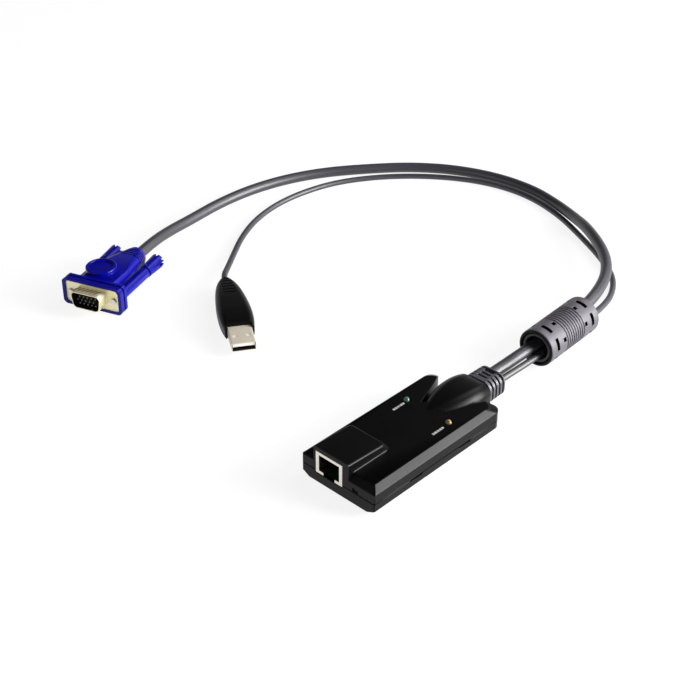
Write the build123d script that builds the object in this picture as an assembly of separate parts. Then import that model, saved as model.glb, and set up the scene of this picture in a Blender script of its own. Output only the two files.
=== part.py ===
"""KVM adapter: a small two-part housing with a modular network jack at its front and a ribbed
boot at its rear. Two cables leave the boot, pass through one ferrite sleeve and end in a
15-pin video plug with thumbscrews and in a USB type A plug. Millimetres, +Z up, the jack
faces -Y, and the whole thing lies on z = 0."""
from build123d import *
import math
import os

os.makedirs("parts", exist_ok=True)

# Housing
housing_w = 42.0            # across the two long sides
side_l = 83.8               # front face to the tips of the two rear lobes
housing_l = 89.8            # front face to the end of the rear tongue
deck_h = 13.4               # top of the flat deck
seam_h = 6.3                # where the upper cover meets the lower one
wall_t = 1.8
top_bevel = 2.8             # the band that runs round the deck
rear_bevel = 3.6            # the same band at the tips of the lobes
bottom_bevel_w = 4.2
bottom_bevel_h = 2.2
front_corner_r = 0.8
lobe_wall_r = 4.6
lobe_deck_r = 5.6
lip_t = 0.8                 # tongue of the lower cover, inside the upper one
lip_h = 1.2
lip_gap = 0.15
seam_groove_h = 0.5
seam_groove_d = 0.45
pry_slot_l = 8.0
pry_slot_h = 1.1
pry_slot_d = 0.9
pry_slot_y = 26.0           # from the front face
pry_slot_pitch = 32.0
front_slot_l = 3.2
front_slot_h = 2.2          # in both covers
front_slot_d = 0.8
front_slot_x = 10.0
front_slot_rise = 0.8       # middle of it above the seam

# Raised hump over the jack
hump_l = 26.0               # foot of its rear slope
hump_top_l = 22.3           # where the top meets the rear slope
hump_h = 18.6               # at the front
hump_rear_h = 17.5
hump_left = 8.9             # from the middle of the jack
hump_right = 11.6
hump_wall = 0.9             # thinner than the rest, the jack leaves no more room
hump_edge_r = 0.9
hump_rear_r = 1.8

# Rear tongue: distance from the front face, half width, half height and corner radius
tongue_axis_h = 6.5
tongue_tip = (9.8, 7.6, 5.5)
tongue_sections = [
    (57.0, 4.0, 6.9, 3.9),
    (64.0, 7.6, 7.9, 5.5),
    (72.0, 9.8, 8.8, 6.0),
    (79.0, 10.8, 9.0, 6.2),
    (85.0, 10.6, 8.6, 6.0),
]
notch_y = 59.5              # where the valleys beside the tongue begin
notch_x = 6.1
notch_root_y = 64.0         # from here they reach in under the tongue
notch_root_x = 3.6
notch_bend_y = 76.0         # from here the inner side of a lobe curves outwards
notch_bend_lobe = 9.0       # width of the lobe there
notch_end_lobe = 4.4        # width of the lobe where the curve ends

# Circuit board and what stands on it
board_t = 1.2
board_h = 3.8               # underside of the board
board_l = 55.0
board_side_gap = 0.5
board_front_gap = 0.6
post_r = 2.2
post_pin_r = 0.9
post_hole_r = 1.15
post_inset_x = 3.6
post_inset_y = 22.5
post_rear_inset = 12.0
hold_down_r = 1.9
main_chip = (14.0, 14.0, 1.4)
main_chip_at = (0.0, 33.0)
part_gap = 0.4              # between a part and the collar of a post
video_chip = (9.0, 6.0, 1.2)
video_chip_y = 45.0
memory_chip = (5.0, 4.0, 1.1)
memory_chip_y = 31.0
transformer = (12.0, 9.0, 5.4)
transformer_y = 12.5
crystal = (8.0, 3.6, 2.8)
crystal_y = 46.0
capacitor_r = 2.0
capacitor_h = 4.4
capacitor_inset = 4.2       # from the edge of the board
capacitors_at = [(-1, 30.0), (-1, 36.0), (1, 36.0)]  # side and distance from the front face
header_d = 4.6
header_h = 5.2
video_header_w = 8.6
video_header_x = -3.9
usb_header_w = 5.6
usb_header_x = 3.7

# Modular jack
jack_x = -5.2               # the jack sits left of the middle
jack_w = 15.4
jack_h = 11.1
jack_l = 17.5
jack_recess = 0.15          # front of the shield behind the front face
jack_gap = 0.2              # opening of the covers round the jack
shield_t = 0.35
port_w = 11.8
port_h = 8.2
port_top_band = 1.45
port_l = 13.5
keyway_w = 6.6
contact_count = 8
contact_pitch = 1.02
contact_w = 0.45
contact_t = 0.3

# Indicator lamps in the deck
lamp_share = 0.635          # of the way from the middle to the inside of the wall
lamp_y = 57.0               # from the front face
lamp_r = 1.5
lamp_gap = 0.1
lamp_flange_r = 1.9
lamp_flange_t = 0.8
lamp_rise = 1.1             # top of the dome above the deck
lamp_ring_r = 2.3
lamp_ring_d = 0.35
lead_w = 0.5
lead_pitch = 2.0

# Cables
video_cable_r = 2.95
usb_cable_r = 1.575
video_exit_x = -3.0
usb_exit_x = 3.0
video_lead_r = 1.3
video_lead_x = -2.1
usb_lead_r = 0.9
usb_lead_x = 2.7

# Ribbed boot
boot_axis_h = 6.7
boot_w = 15.6
boot_h = 12.4
boot_end_w = 15.0
boot_end_h = 11.9
boot_l = 13.9
boot_corner_r = 4.6
boot_neck_inset = 1.3       # the neck held by the rear wall is this much slimmer
boot_flange_inset = 0.75
boot_flange_l = 3.0
boot_groove_n = 5
boot_groove_w = 1.2
boot_groove_pitch = 2.55
boot_groove_d = 1.3
boot_first_groove = 1.2
boot_top_slot_w = 7.6

# Ferrite sleeve
ferrite_x = 1.2
ferrite_near_y = 89.4       # end next to the boot
ferrite_l = 40.9
ferrite_r = 9.6
ferrite_heading = 2.7       # degrees, turned to the left
ferrite_end_r = 1.0
ferrite_bore_r = 5.7
ferrite_funnel_r = 8.2
ferrite_funnel_l = 1.5
ferrite_step_r = 6.9
ferrite_step_l = 3.2
ferrite_wall = 1.6
core_end_gap = 5.0
core_fit = 0.05             # core inside the sleeve
rib_n = 9
rib_pitch = 1.77
rib_groove_w = 0.8
rib_groove_d = 0.45
collar_slot_at = 5.6        # from each end
collar_slot_w = 2.1
collar_slot_angle = 38.0
peep_hole_at = 11.3
peep_hole_w = 2.1
window_n = 6
window_turn = 20.0          # degrees, first window from the right side

# Video plug, in its own frame: front face of its flange at y = 0, facing -Y
plug_axis_h = 7.45
flange_w = 30.8
flange_h = 12.5
flange_t = 0.8
flange_corner_r = 2.0
screw_pitch = 24.99
screw_r = 1.42
screw_fit = 0.1
screw_tip = 1.0             # tip in front of the flange
screw_thread_l = 6.2
screw_root_r = 1.15
screw_relief = 0.35         # thread run-out just behind the free tip
dshell_w = 17.8
dshell_h = 9.26
dshell_l = 6.6
dshell_slant = 9.0
dshell_corner_r = 2.6
dshell_t = 0.45
pin_r = 0.38
pin_pitch = 2.29
pin_row = 1.98
pin_l = 4.6
insert_l = 6.0
rim_w = 34.4
rim_h = 14.9
rim_front = 0.7             # rim in front of the flange
rim_t = 2.2
rim_corner_r = 2.6
second_rim_from = 3.2
second_rim_to = 5.2
hood_w = 20.4
hood_h = 13.4
hood_corner_r = 2.0
hood_straight = 21.5
hood_shoulder = (31.0, 17.0, 12.6, 4.0)
hood_neck = (38.5, 14.2, 11.4, 4.8)
hood_l = 44.7
hood_end_w = 10.4
hood_rib_n = 4
hood_rib_pitch = 2.1
hood_rib_w = 0.8
hood_rib_d = 0.6
grip_disc_r = 8.0
grip_disc_rise = 2.0
grip_disc_skirt = 3.0       # how far its wall reaches down the side of the hood
grip_disc_x = -3.6          # it sits left of the middle
grip_disc_y = 15.6
grip_dish_r = 6.6
grip_dish_d = 0.7
barrel_r = 3.1
barrel_gap = 0.4
knob_from = 31.6
knob_to = 44.4
knob_groove_w = 0.9
knob_groove_d = 0.55
knob_end_r = 3.9
knob_fins = 6
knob_slot_w = 1.1
knob_slot_d = 1.0
knob_cross_w = 1.3
knob_cross_l = 4.5
finger_groove_l = 30.0      # behind the straight part of the hood

# USB plug, in its own frame: mouth of its metal shell at y = 0, facing -Y
usb_axis_h = 4.95
usb_w = 12.0
usb_h = 4.5
usb_t = 0.3
usb_l = 19.5
usb_show = 15.4
usb_hole_x = 3.2
usb_hole_y = 6.6
usb_hole_w = 2.3
usb_hole_l = 2.1
tongue_w = 10.8
tongue_t = 1.9
tongue_set = 0.4
usb_contact_x = (-3.5, -1.0, 1.0, 3.5)
usb_contact_w = 1.0
usb_contact_t = 0.15
usb_contact_l = 7.6
usb_pocket = 0.35           # grip's horns clear the metal shell by this
horn_from = 13.0
horn_end = (14.6, 8.0, 2.6)
grip_sections = [
    (17.5, 16.2, 9.0, 3.0),
    (25.0, 17.4, 9.8, 3.4),
    (34.0, 17.2, 9.7, 3.8),
    (44.0, 15.4, 9.0, 3.8),
    (53.0, 12.5, 7.8, 3.4),
]
grip_l = 61.0
grip_end_w = 7.0
grip_rib_n = 5
grip_rib_pitch = 3.1
grip_rib_w = 0.9
grip_rib_d = 0.5
grip_rib_half = 3.2         # half the length of a rib, across the top

# The route of each cable, hand laid: the boot is its start and the plug its end
video_end = (-206.9, 17.0)
video_heading = 20.4        # degrees, turn of the video plug
usb_end = (-155.6, 33.2)
usb_heading = 56.2
exit_run = 8.0
video_last_run = 15.0
usb_last_run = 7.0
video_route = [
    (-1.4, 81.1, 8.9),
    (-0.8, 103.6, 9.9),
    (-2.6, 128.6, 10.3),
    (-6.6, 151.1, 10.2),
    (-15.0, 172.1, 9.9),
    (-29.0, 189.1, 9.7),
    (-50.0, 204.1, 9.5),
    (-67.5, 216.1, 5.4),
    (-85.0, 225.1, 3.1),
    (-107.0, 230.6, 2.95),
    (-132.5, 228.6, 2.95),
    (-157.5, 219.1, 2.95),
    (-178.5, 203.6, 2.95),
    (-196.0, 183.1, 2.95),
    (-210.3, 163.1, 2.95),
    (-220.3, 141.1, 2.95),
    (-225.7, 117.1, 2.95),
    (-226.3, 92.1, 2.95),
    (-223.0, 67.6, 3.1),
    (-218.5, 48.1, 5.2),
]
usb_route = [
    (3.5, 81.1, 6.8),
    (2.9, 103.6, 7.0),
    (1.6, 128.6, 6.9),
    (-1.8, 150.1, 4.6),
    (-7.8, 167.6, 2.0),
    (-18.0, 183.1, 1.6),
    (-33.5, 194.1, 1.6),
    (-53.0, 205.1, 1.6),
    (-79.5, 218.4, 1.6),
    (-106.5, 225.1, 1.6),
    (-131.5, 222.3, 1.6),
    (-153.5, 211.8, 1.6),
    (-172.5, 196.6, 1.6),
    (-187.5, 179.1, 1.6),
    (-198.5, 159.1, 1.6),
    (-203.3, 137.6, 1.6),
    (-203.6, 116.6, 1.6),
    (-199.0, 95.6, 1.6),
    (-190.0, 76.6, 1.6),
    (-179.0, 60.6, 2.0),
    (-168.0, 46.1, 3.7),
]

front_y = -housing_l / 2
rear_y = housing_l / 2
board_top = board_h + board_t
board_from_y = front_y + wall_t + board_front_gap
half_in = housing_w / 2 - wall_t
board_edge = half_in - board_side_gap
post_x = half_in - post_inset_x
lamp_x = lamp_share * half_in
jack_right = jack_x + jack_w / 2
beside_post = post_x - post_r - part_gap
transformer_at = ((jack_right + board_edge) / 2, transformer_y)
memory_chip_at = ((main_chip[0] / 2 + board_edge) / 2, memory_chip_y)
video_chip_at = (video_chip[0] / 2 - beside_post, video_chip_y)
crystal_at = (beside_post - crystal[0] / 2, crystal_y)


def across(y, z=0.0):
    """Plane that faces along Y, with its own x to the right and y up."""
    return Plane(origin=(0, y, z), x_dir=(1, 0, 0), z_dir=(0, -1, 0))


def prism(face, y_from, y_to):
    """A face drawn in across(0), carried from one Y to another."""
    return Pos(0, y_to, 0) * extrude(across(0) * face, y_to - y_from)


def block(x0, x1, y0, y1, z0, z1):
    return Pos((x0 + x1) / 2, (y0 + y1) / 2, (z0 + z1) / 2) * Box(x1 - x0, y1 - y0, z1 - z0)


def cut_box(part, x0, x1, y0, y1, z0, z1):
    return part - block(x0, x1, y0, y1, z0, z1)


def between(part, z0, z1):
    """The slice of a part between two heights."""
    far = housing_l + side_l
    return part & block(-far, far, -far, far, z0, z1)


# Housing
def rounded_plan(half_w, y0, y1, front_r, rear_r):
    """Plan with small corners at the front and large ones at the rear."""
    plan = Pos(0, (y0 + y1) / 2) * Rectangle(2 * half_w, y1 - y0)
    plan = fillet(plan.vertices().group_by(Axis.Y)[-1], rear_r)
    return fillet(plan.vertices().group_by(Axis.Y)[0], front_r)


def body_block(inset):
    """Long box with rounded lobe corners under a bevelled deck, shrunk by inset."""
    corner = max(front_corner_r - inset / 2, 0.3)
    wall = rounded_plan(housing_w / 2 - inset, front_y + inset, front_y + side_l - inset, corner, lobe_wall_r - inset)
    slip = inset * (math.sqrt(2) - 1)
    half_w = housing_w / 2 - top_bevel - slip
    deck = rounded_plan(half_w, front_y + top_bevel + slip, front_y + side_l - rear_bevel - slip, corner, lobe_deck_r)
    wall_top = deck_h - top_bevel - slip
    sides = extrude(Pos(0, 0, inset) * wall, wall_top - inset)
    return sides + loft([Pos(0, 0, wall_top) * wall, Pos(0, 0, deck_h - inset) * deck])


def hump(inset):
    """Raised block over the jack, its top falling slightly to a sloped rear side."""
    thin = min(inset, hump_wall)
    x0 = jack_x - hump_left + thin
    x1 = jack_x + hump_right - thin
    y0 = front_y + inset
    top_y = front_y + hump_top_l - thin
    foot_y = front_y + hump_l - thin
    low = tongue_axis_h
    outline = Polyline((y0, low), (y0, hump_h - thin), (top_y, hump_rear_h - thin), (foot_y, deck_h), (foot_y, low), close=True)
    side = Plane(origin=(x0, 0, 0), x_dir=(0, 1, 0), z_dir=(1, 0, 0))
    solid = extrude(side * make_face(outline), x1 - x0)
    slants = [e for e in solid.edges() if e.bounding_box().size.Z > 2 and 2 < e.bounding_box().size.Y < 8]
    solid = fillet(slants, max(hump_rear_r - inset, 0.2))
    rim = solid.faces().sort_by(Axis.Z)[-1].edges()
    rim = rim - rim.group_by(Axis.Y)[0]
    return fillet(rim, max(hump_edge_r - inset / 2, 0.15))


def tongue(inset):
    """Rounded tongue that grows out of the deck and closes on the boot."""
    faces = []
    for from_front, half_w, half_h, radius in tongue_sections + [(housing_l,) + tongue_tip]:
        y = front_y + from_front
        if from_front == housing_l:
            y = y - inset
        size = RectangleRounded(2 * (half_w - inset), 2 * (half_h - inset), radius - inset)
        faces.append(across(y, tongue_axis_h) * size)
    return between(loft(faces), inset, hump_h)


def notches(inset):
    """The two valleys between the tongue and the lobes."""
    y0 = front_y + notch_y
    bend = (housing_w / 2 - notch_bend_lobe, front_y + notch_bend_y)
    end = (housing_w / 2 - notch_end_lobe, front_y + side_l + 0.5)
    y1 = end[1] + 2 * wall_t
    side = Line((notch_x, y0), bend)
    curve = TangentArc(bend, end, tangent=side % 1)
    root = (notch_root_x, front_y + notch_root_y)
    back = Polyline(end, (end[0], y1), (notch_root_x, y1), root, (notch_x, y0))
    face = make_face(Curve() + [side, curve, back])
    if inset > 0:
        face = offset(face, inset, kind=Kind.ARC)
    right = extrude(Pos(0, 0, -1) * face, hump_h + 2)
    return right + mirror(right, Plane.YZ)


def bottom_bevels(inset):
    """Wedges that the long bottom edges lose, moved inwards by inset."""
    slope = math.hypot(bottom_bevel_w, bottom_bevel_h)
    shift = inset * slope / bottom_bevel_w
    foot_x = housing_w / 2 - bottom_bevel_w + (inset - shift) * bottom_bevel_w / bottom_bevel_h
    rise = bottom_bevel_h / bottom_bevel_w
    out_x = housing_w / 2 + 1
    top_z = inset + (out_x - foot_x) * rise
    outline = Polyline((foot_x, inset), (out_x, top_z), (out_x, -1), (foot_x, -1), close=True)
    right = prism(make_face(outline), front_y - 1, rear_y + 1)
    return right + mirror(right, Plane.YZ)


def envelope(inset):
    """The outer form of the closed housing, moved inwards by inset."""
    form = body_block(inset) - notches(inset)
    form = form - bottom_bevels(inset)
    form = form + tongue(inset)
    return form + hump(inset)


def jack_window(gap):
    x0 = jack_x - jack_w / 2 - gap
    x1 = jack_x + jack_w / 2 + gap
    return block(x0, x1, front_y - 1, front_y + wall_t + 1, board_top - gap, board_top + jack_h + gap)


def boot_outline(width, height):
    """Rounded rectangle whose corners shrink with it."""
    inset = (boot_w - width) / 2
    return RectangleRounded(width, height, max(boot_corner_r - inset, 0.5))


def boot_window():
    size = boot_outline(boot_w - 2 * boot_neck_inset, boot_h - 2 * boot_neck_inset)
    return prism(Pos(0, boot_axis_h) * size, rear_y - wall_t - 1, rear_y + 1)


def pry_slots():
    slots = []
    y = front_y + pry_slot_y
    z0 = seam_h - pry_slot_h
    for side in (-1, 1):
        x = side * housing_w / 2
        for at in (y, y + pry_slot_pitch):
            slots.append(Pos(x, at, z0 + pry_slot_h / 2) * Box(2 * pry_slot_d, pry_slot_l, pry_slot_h))
    return slots


def front_slot():
    return Pos(front_slot_x, front_y, seam_h + front_slot_rise) * Box(front_slot_l, 2 * front_slot_d, front_slot_h)


def post_places():
    x = post_x
    y0 = board_from_y + post_inset_y
    y1 = board_from_y + board_l - post_rear_inset
    return [(-x, y0), (x, y0), (-x, y1), (x, y1)]


form_outer = envelope(0)
form_inner = envelope(wall_t)
form_lip = envelope(wall_t - lip_t)
form_rebate = envelope(wall_t - lip_t - lip_gap)


def lower_cover():
    tray = between(form_outer - form_inner, 0, seam_h)
    lip = between(form_lip - form_inner, seam_h - 0.5, seam_h + lip_h)
    part = tray + lip
    groove = form_outer - envelope(seam_groove_d)
    part = part - between(groove, seam_h - seam_groove_h, seam_h)
    for x, y in post_places():
        part = part + Pos(x, y, (wall_t / 2 + board_h) / 2) * Cylinder(post_r, board_h - wall_t / 2)
        pin_h = board_t + wall_t
        part = part + Pos(x, y, board_top - pin_h / 2) * Cylinder(post_pin_r, pin_h)
    for slot in pry_slots():
        part = part - slot
    part = part - front_slot() - jack_window(jack_gap)
    return part - boot_window()


def lamp_places():
    y = front_y + lamp_y
    return [(-lamp_x, y), (lamp_x, y)]


def upper_cover():
    part = between(form_outer - form_inner, seam_h, hump_h + 1)
    part = part - between(form_rebate, seam_h - 1, seam_h + lip_h + lip_gap)
    ceiling = deck_h - wall_t / 2
    for x, y in post_places():
        long_post = Pos(x, y, (board_top + ceiling) / 2) * Cylinder(hold_down_r, ceiling - board_top)
        bore_h = board_t
        part = part + long_post - Pos(x, y, board_top) * Cylinder(post_pin_r + lip_gap, bore_h)
    for x, y in lamp_places():
        part = part - Pos(x, y, deck_h) * Cylinder(lamp_r + lamp_gap, 4 * wall_t)
        part = part - Pos(x, y, deck_h) * Cylinder(lamp_ring_r, 2 * lamp_ring_d)
    part = part - front_slot() - jack_window(jack_gap)
    return part - boot_window()


# Circuit board
def circuit_board():
    x = board_edge
    part = block(-x, x, board_from_y, board_from_y + board_l, board_h, board_top)
    part = fillet(part.edges().filter_by(Axis.Z), 1.0)
    for px, py in post_places():
        part = part - Pos(px, py, board_top) * Cylinder(post_hole_r, 3 * board_t)
    return part


def on_board(size, at, low=0.0):
    """A box standing on the board, its place measured from the front face."""
    x, y = at
    w, length, h = size
    return block(x - w / 2, x + w / 2, front_y + y - length / 2, front_y + y + length / 2, board_top + low, board_top + h)


def chip(size, at):
    """Moulded chip with a pin-one bevel on one corner."""
    part = on_board(size, at)
    corner = part.edges().filter_by(Axis.Z).sort_by(Axis.X)[0]
    return chamfer(corner, 0.8)


def capacitors():
    cans = []
    for side, y in capacitors_at:
        x = side * (board_edge - capacitor_inset)
        can = Pos(x, front_y + y, board_top + capacitor_h / 2) * Cylinder(capacitor_r, capacitor_h)
        rim = can.edges().group_by(Axis.Z)[-1]
        cans.append(fillet(rim, 0.3))
    return Compound(children=cans)


header_y = board_from_y + board_l - header_d / 2 - 1.0 - front_y


def header(x, width):
    """Wire header on the board, open to the rear."""
    part = on_board((width, header_d, header_h), (x, header_y))
    y = front_y + header_y + header_d / 2
    return part - block(x - width / 2 + 0.8, x + width / 2 - 0.8, y - 2.6, y + 1, board_top + 0.6, board_top + header_h - 0.8)


def wire_lead(x, radius):
    """Jacketed inner end of a cable, from its header to the boot."""
    y0 = front_y + header_y + header_d / 2 - 2.6
    y1 = rear_y - wall_t - boot_flange_l
    z = boot_axis_h + 0.6
    return Pos(x, (y0 + y1) / 2, z) * Rot(90, 0, 0) * Cylinder(radius, y1 - y0)


# Modular jack
jack_front = front_y + jack_recess


def jack_box(side_in, front_in, top_in, back_in):
    x0 = jack_x - jack_w / 2 + side_in
    x1 = jack_x + jack_w / 2 - side_in
    return block(x0, x1, jack_front + front_in, jack_front + jack_l - back_in, board_top, board_top + jack_h - top_in)


def port_outline(y0, y1):
    """Plug opening with the latch channel below it."""
    top = board_top + jack_h - port_top_band
    part = block(jack_x - port_w / 2, jack_x + port_w / 2, y0, y1, top - port_h, top)
    return part + block(jack_x - keyway_w / 2, jack_x + keyway_w / 2, y0, y1, board_top - 1, top)


def jack_shield():
    """Sheet-metal cover, open below, its front folded round the port."""
    part = jack_box(0, 0, 0, 0) - jack_box(shield_t, shield_t, shield_t, shield_t)
    return part - port_outline(jack_front - 1, jack_front + shield_t + 1)


def jack_body():
    part = jack_box(shield_t, shield_t, shield_t, shield_t)
    return part - port_outline(jack_front - 1, jack_front + shield_t + port_l)


def jack_contacts():
    """Eight spring wires that slope down towards the back of the port."""
    top = board_top + jack_h - port_top_band
    y0 = jack_front + shield_t + 3.5
    y1 = jack_front + shield_t + port_l
    drop = 3.6
    outline = Polyline((y0, top), (y0 + 1.2, top), (y1, top - drop + contact_t), (y1, top - drop), (y0, top - contact_t), close=True)
    wires = []
    for i in range(contact_count):
        x = jack_x + (i - (contact_count - 1) / 2) * contact_pitch
        side = Plane(origin=(x - contact_w / 2, 0, 0), x_dir=(0, 1, 0), z_dir=(1, 0, 0))
        wires.append(extrude(side * make_face(outline), contact_w))
    return Compound(children=wires)


# Lamps
def lamp(place):
    """Domed lens with a flange that stops it under the deck."""
    x, y = place
    top = deck_h + lamp_rise
    ceiling = deck_h - wall_t
    low = ceiling - lamp_flange_t - 2.5
    body = Pos(x, y, (low + top - lamp_r) / 2) * Cylinder(lamp_r, top - lamp_r - low)
    dome = Pos(x, y, top - lamp_r) * Sphere(lamp_r)
    flange = Pos(x, y, ceiling - lamp_flange_t / 2) * Cylinder(lamp_flange_r, lamp_flange_t)
    return body + dome + flange


def lamp_leads():
    low = deck_h - wall_t - lamp_flange_t - 2.5
    leads = []
    for x, y in lamp_places():
        for side in (-0.5, 0.5):
            px = x + side * lead_pitch
            half = lead_w / 2
            leads.append(block(px - half, px + half, y - half, y + half, board_top, low))
    return Compound(children=leads)


# Ribbed boot
def boot_prism(width, height, y0, y1):
    return prism(Pos(0, boot_axis_h) * boot_outline(width, height), y0, y1)


def cable_boot():
    """Moulded strain relief: outer ribbed part, slim neck in the rear wall, flange inside."""
    near = across(rear_y, boot_axis_h) * boot_outline(boot_w, boot_h)
    end = across(rear_y + boot_l, boot_axis_h) * boot_outline(boot_end_w, boot_end_h)
    outer = loft([near, end])
    outer = fillet(outer.edges().group_by(Axis.Y)[-1], 0.8)
    neck_y = rear_y - wall_t
    neck = boot_prism(boot_w - 2 * boot_neck_inset - 0.1, boot_h - 2 * boot_neck_inset - 0.1, neck_y, rear_y)
    flange_w = boot_w - 2 * boot_flange_inset
    flange_h = boot_h - 2 * boot_flange_inset
    flange = boot_prism(flange_w, flange_h, neck_y - boot_flange_l, neck_y)
    flange = flange & envelope(wall_t + lip_gap)
    part = outer + neck + flange
    far = 2 * boot_w
    half = boot_top_slot_w / 2
    for i in range(boot_groove_n):
        y0 = rear_y + boot_first_groove + i * boot_groove_pitch
        y1 = y0 + boot_groove_w
        core = boot_prism(boot_end_w - 2 * boot_groove_d, boot_end_h - 2 * boot_groove_d, y0 - 1, y1 + 1)
        ring = block(-far, far, y0, y1, -1, far) - core
        if 0 < i < boot_groove_n - 1:
            bridge = block(-half, half, y0 - 1, y1 + 1, boot_axis_h, far)
            slot = ring & block(1.2 - half, half - 1.2, y0 - 1, y1 + 1, boot_axis_h, far)
            ring = (ring - bridge) + Pos(0, boot_groove_w, 0) * slot
        part = part - ring
    return part


# Ferrite sleeve
ferrite_place = Pos(ferrite_x, ferrite_near_y, ferrite_r) * Rot(0, 0, ferrite_heading)


def along_y(radius, y0, y1):
    return Pos(0, (y0 + y1) / 2, 0) * Rot(90, 0, 0) * Cylinder(radius, y1 - y0)


def ferrite_sleeve():
    """Moulded sleeve: plain collars with windows, a ribbed middle and a funnel at each end."""
    part = along_y(ferrite_r, 0, ferrite_l)
    part = fillet(part.edges().filter_by(GeomType.CIRCLE), ferrite_end_r)
    middle = ferrite_l / 2
    for i in range(rib_n):
        y = middle + (i - (rib_n - 1) / 2) * rib_pitch
        ring = along_y(ferrite_r + 1, y - rib_groove_w / 2, y + rib_groove_w / 2)
        part = part - (ring - along_y(ferrite_r - rib_groove_d, y - 1, y + 1))
    part = part - along_y(ferrite_r - ferrite_wall, core_end_gap, ferrite_l - core_end_gap)
    part = part - along_y(ferrite_bore_r, -1, ferrite_l + 1)
    part = part - along_y(ferrite_funnel_r, -1, ferrite_funnel_l)
    part = part - along_y(ferrite_funnel_r, ferrite_l - ferrite_funnel_l, ferrite_l + 1)
    part = part - along_y(ferrite_step_r, -1, ferrite_step_l)
    part = part - along_y(ferrite_step_r, ferrite_l - ferrite_step_l, ferrite_l + 1)
    for i in range(window_n):
        turn = Rot(0, 360 / window_n * i - window_turn, 0)
        for y in (peep_hole_at, ferrite_l - peep_hole_at):
            hole = Pos(ferrite_r, y, 0) * Box(2 * ferrite_wall, peep_hole_w, peep_hole_w)
            part = part - turn * hole
        for y in (collar_slot_at, ferrite_l - collar_slot_at):
            half = ferrite_r * math.sin(math.radians(collar_slot_angle / 2))
            slot = Pos(ferrite_r, y, 0) * Box(2 * ferrite_wall + 1.2, collar_slot_w, 2 * half)
            part = part - turn * (slot - along_y(ferrite_r - ferrite_wall, 0, ferrite_l))
    return ferrite_place * part


def ferrite_core():
    end = core_end_gap + core_fit
    part = along_y(ferrite_r - ferrite_wall - core_fit, end, ferrite_l - end)
    return ferrite_place * (part - along_y(ferrite_bore_r, 0, ferrite_l))


# Video plug
def place_plug(end, heading, length, part):
    """Stand a plug so that its cable end meets the end of the cable."""
    return Pos(end[0], end[1], 0) * Rot(0, 0, heading) * Pos(0, -length, 0) * part


def dshell_face(shrink):
    """D outline: slanted sides, wide side up."""
    w = dshell_w / 2 - shrink
    h = dshell_h / 2 - shrink
    lean = dshell_h * math.tan(math.radians(dshell_slant))
    outline = Polyline((-w, h), (w, h), (w - lean, -h), (-w + lean, -h), close=True)
    face = make_face(outline)
    return fillet(face.vertices(), max(dshell_corner_r - shrink, 0.3))


def at_axis(face):
    return Pos(0, plug_axis_h) * face


def screw_holes(part, y0, y1):
    for side in (-1, 1):
        hole = Pos(side * screw_pitch / 2, 0, plug_axis_h) * along_y(screw_r + screw_fit, y0, y1)
        part = part - hole
    return part


def video_shell():
    """Plated flange with the D-shaped shell drawn out of it."""
    plate = prism(at_axis(RectangleRounded(flange_w, flange_h, flange_corner_r)), 0, flange_t)
    tube = prism(at_axis(dshell_face(0)), -dshell_l, flange_t)
    tube = fillet(tube.edges().group_by(Axis.Y)[0], dshell_t * 0.4)
    part = plate + tube
    part = part - prism(at_axis(dshell_face(dshell_t)), -dshell_l - 1, flange_t + 1)
    return screw_holes(part, -1, flange_t + 1)


def video_insert():
    """Black insulator that fills the root of the shell."""
    front = prism(at_axis(dshell_face(dshell_t)), -0.9, flange_t)
    back = prism(at_axis(Rectangle(dshell_w - 1, dshell_h)), flange_t, insert_l)
    return front + back


def video_pins():
    pins = []
    for row in range(3):
        for i in range(5):
            x = (i - 2) * pin_pitch + (0.5 - row % 2) * pin_pitch / 2
            z = plug_axis_h + (1 - row) * pin_row
            pin = Pos(x, 0, z) * along_y(pin_r, -0.9 - pin_l, -0.9)
            tip = pin.edges().group_by(Axis.Y)[0]
            pins.append(fillet(tip, pin_r * 0.6))
    return Compound(children=pins)


def hood_section(y, width, height, radius):
    return across(y, plug_axis_h) * RectangleRounded(width, height, radius)


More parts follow.
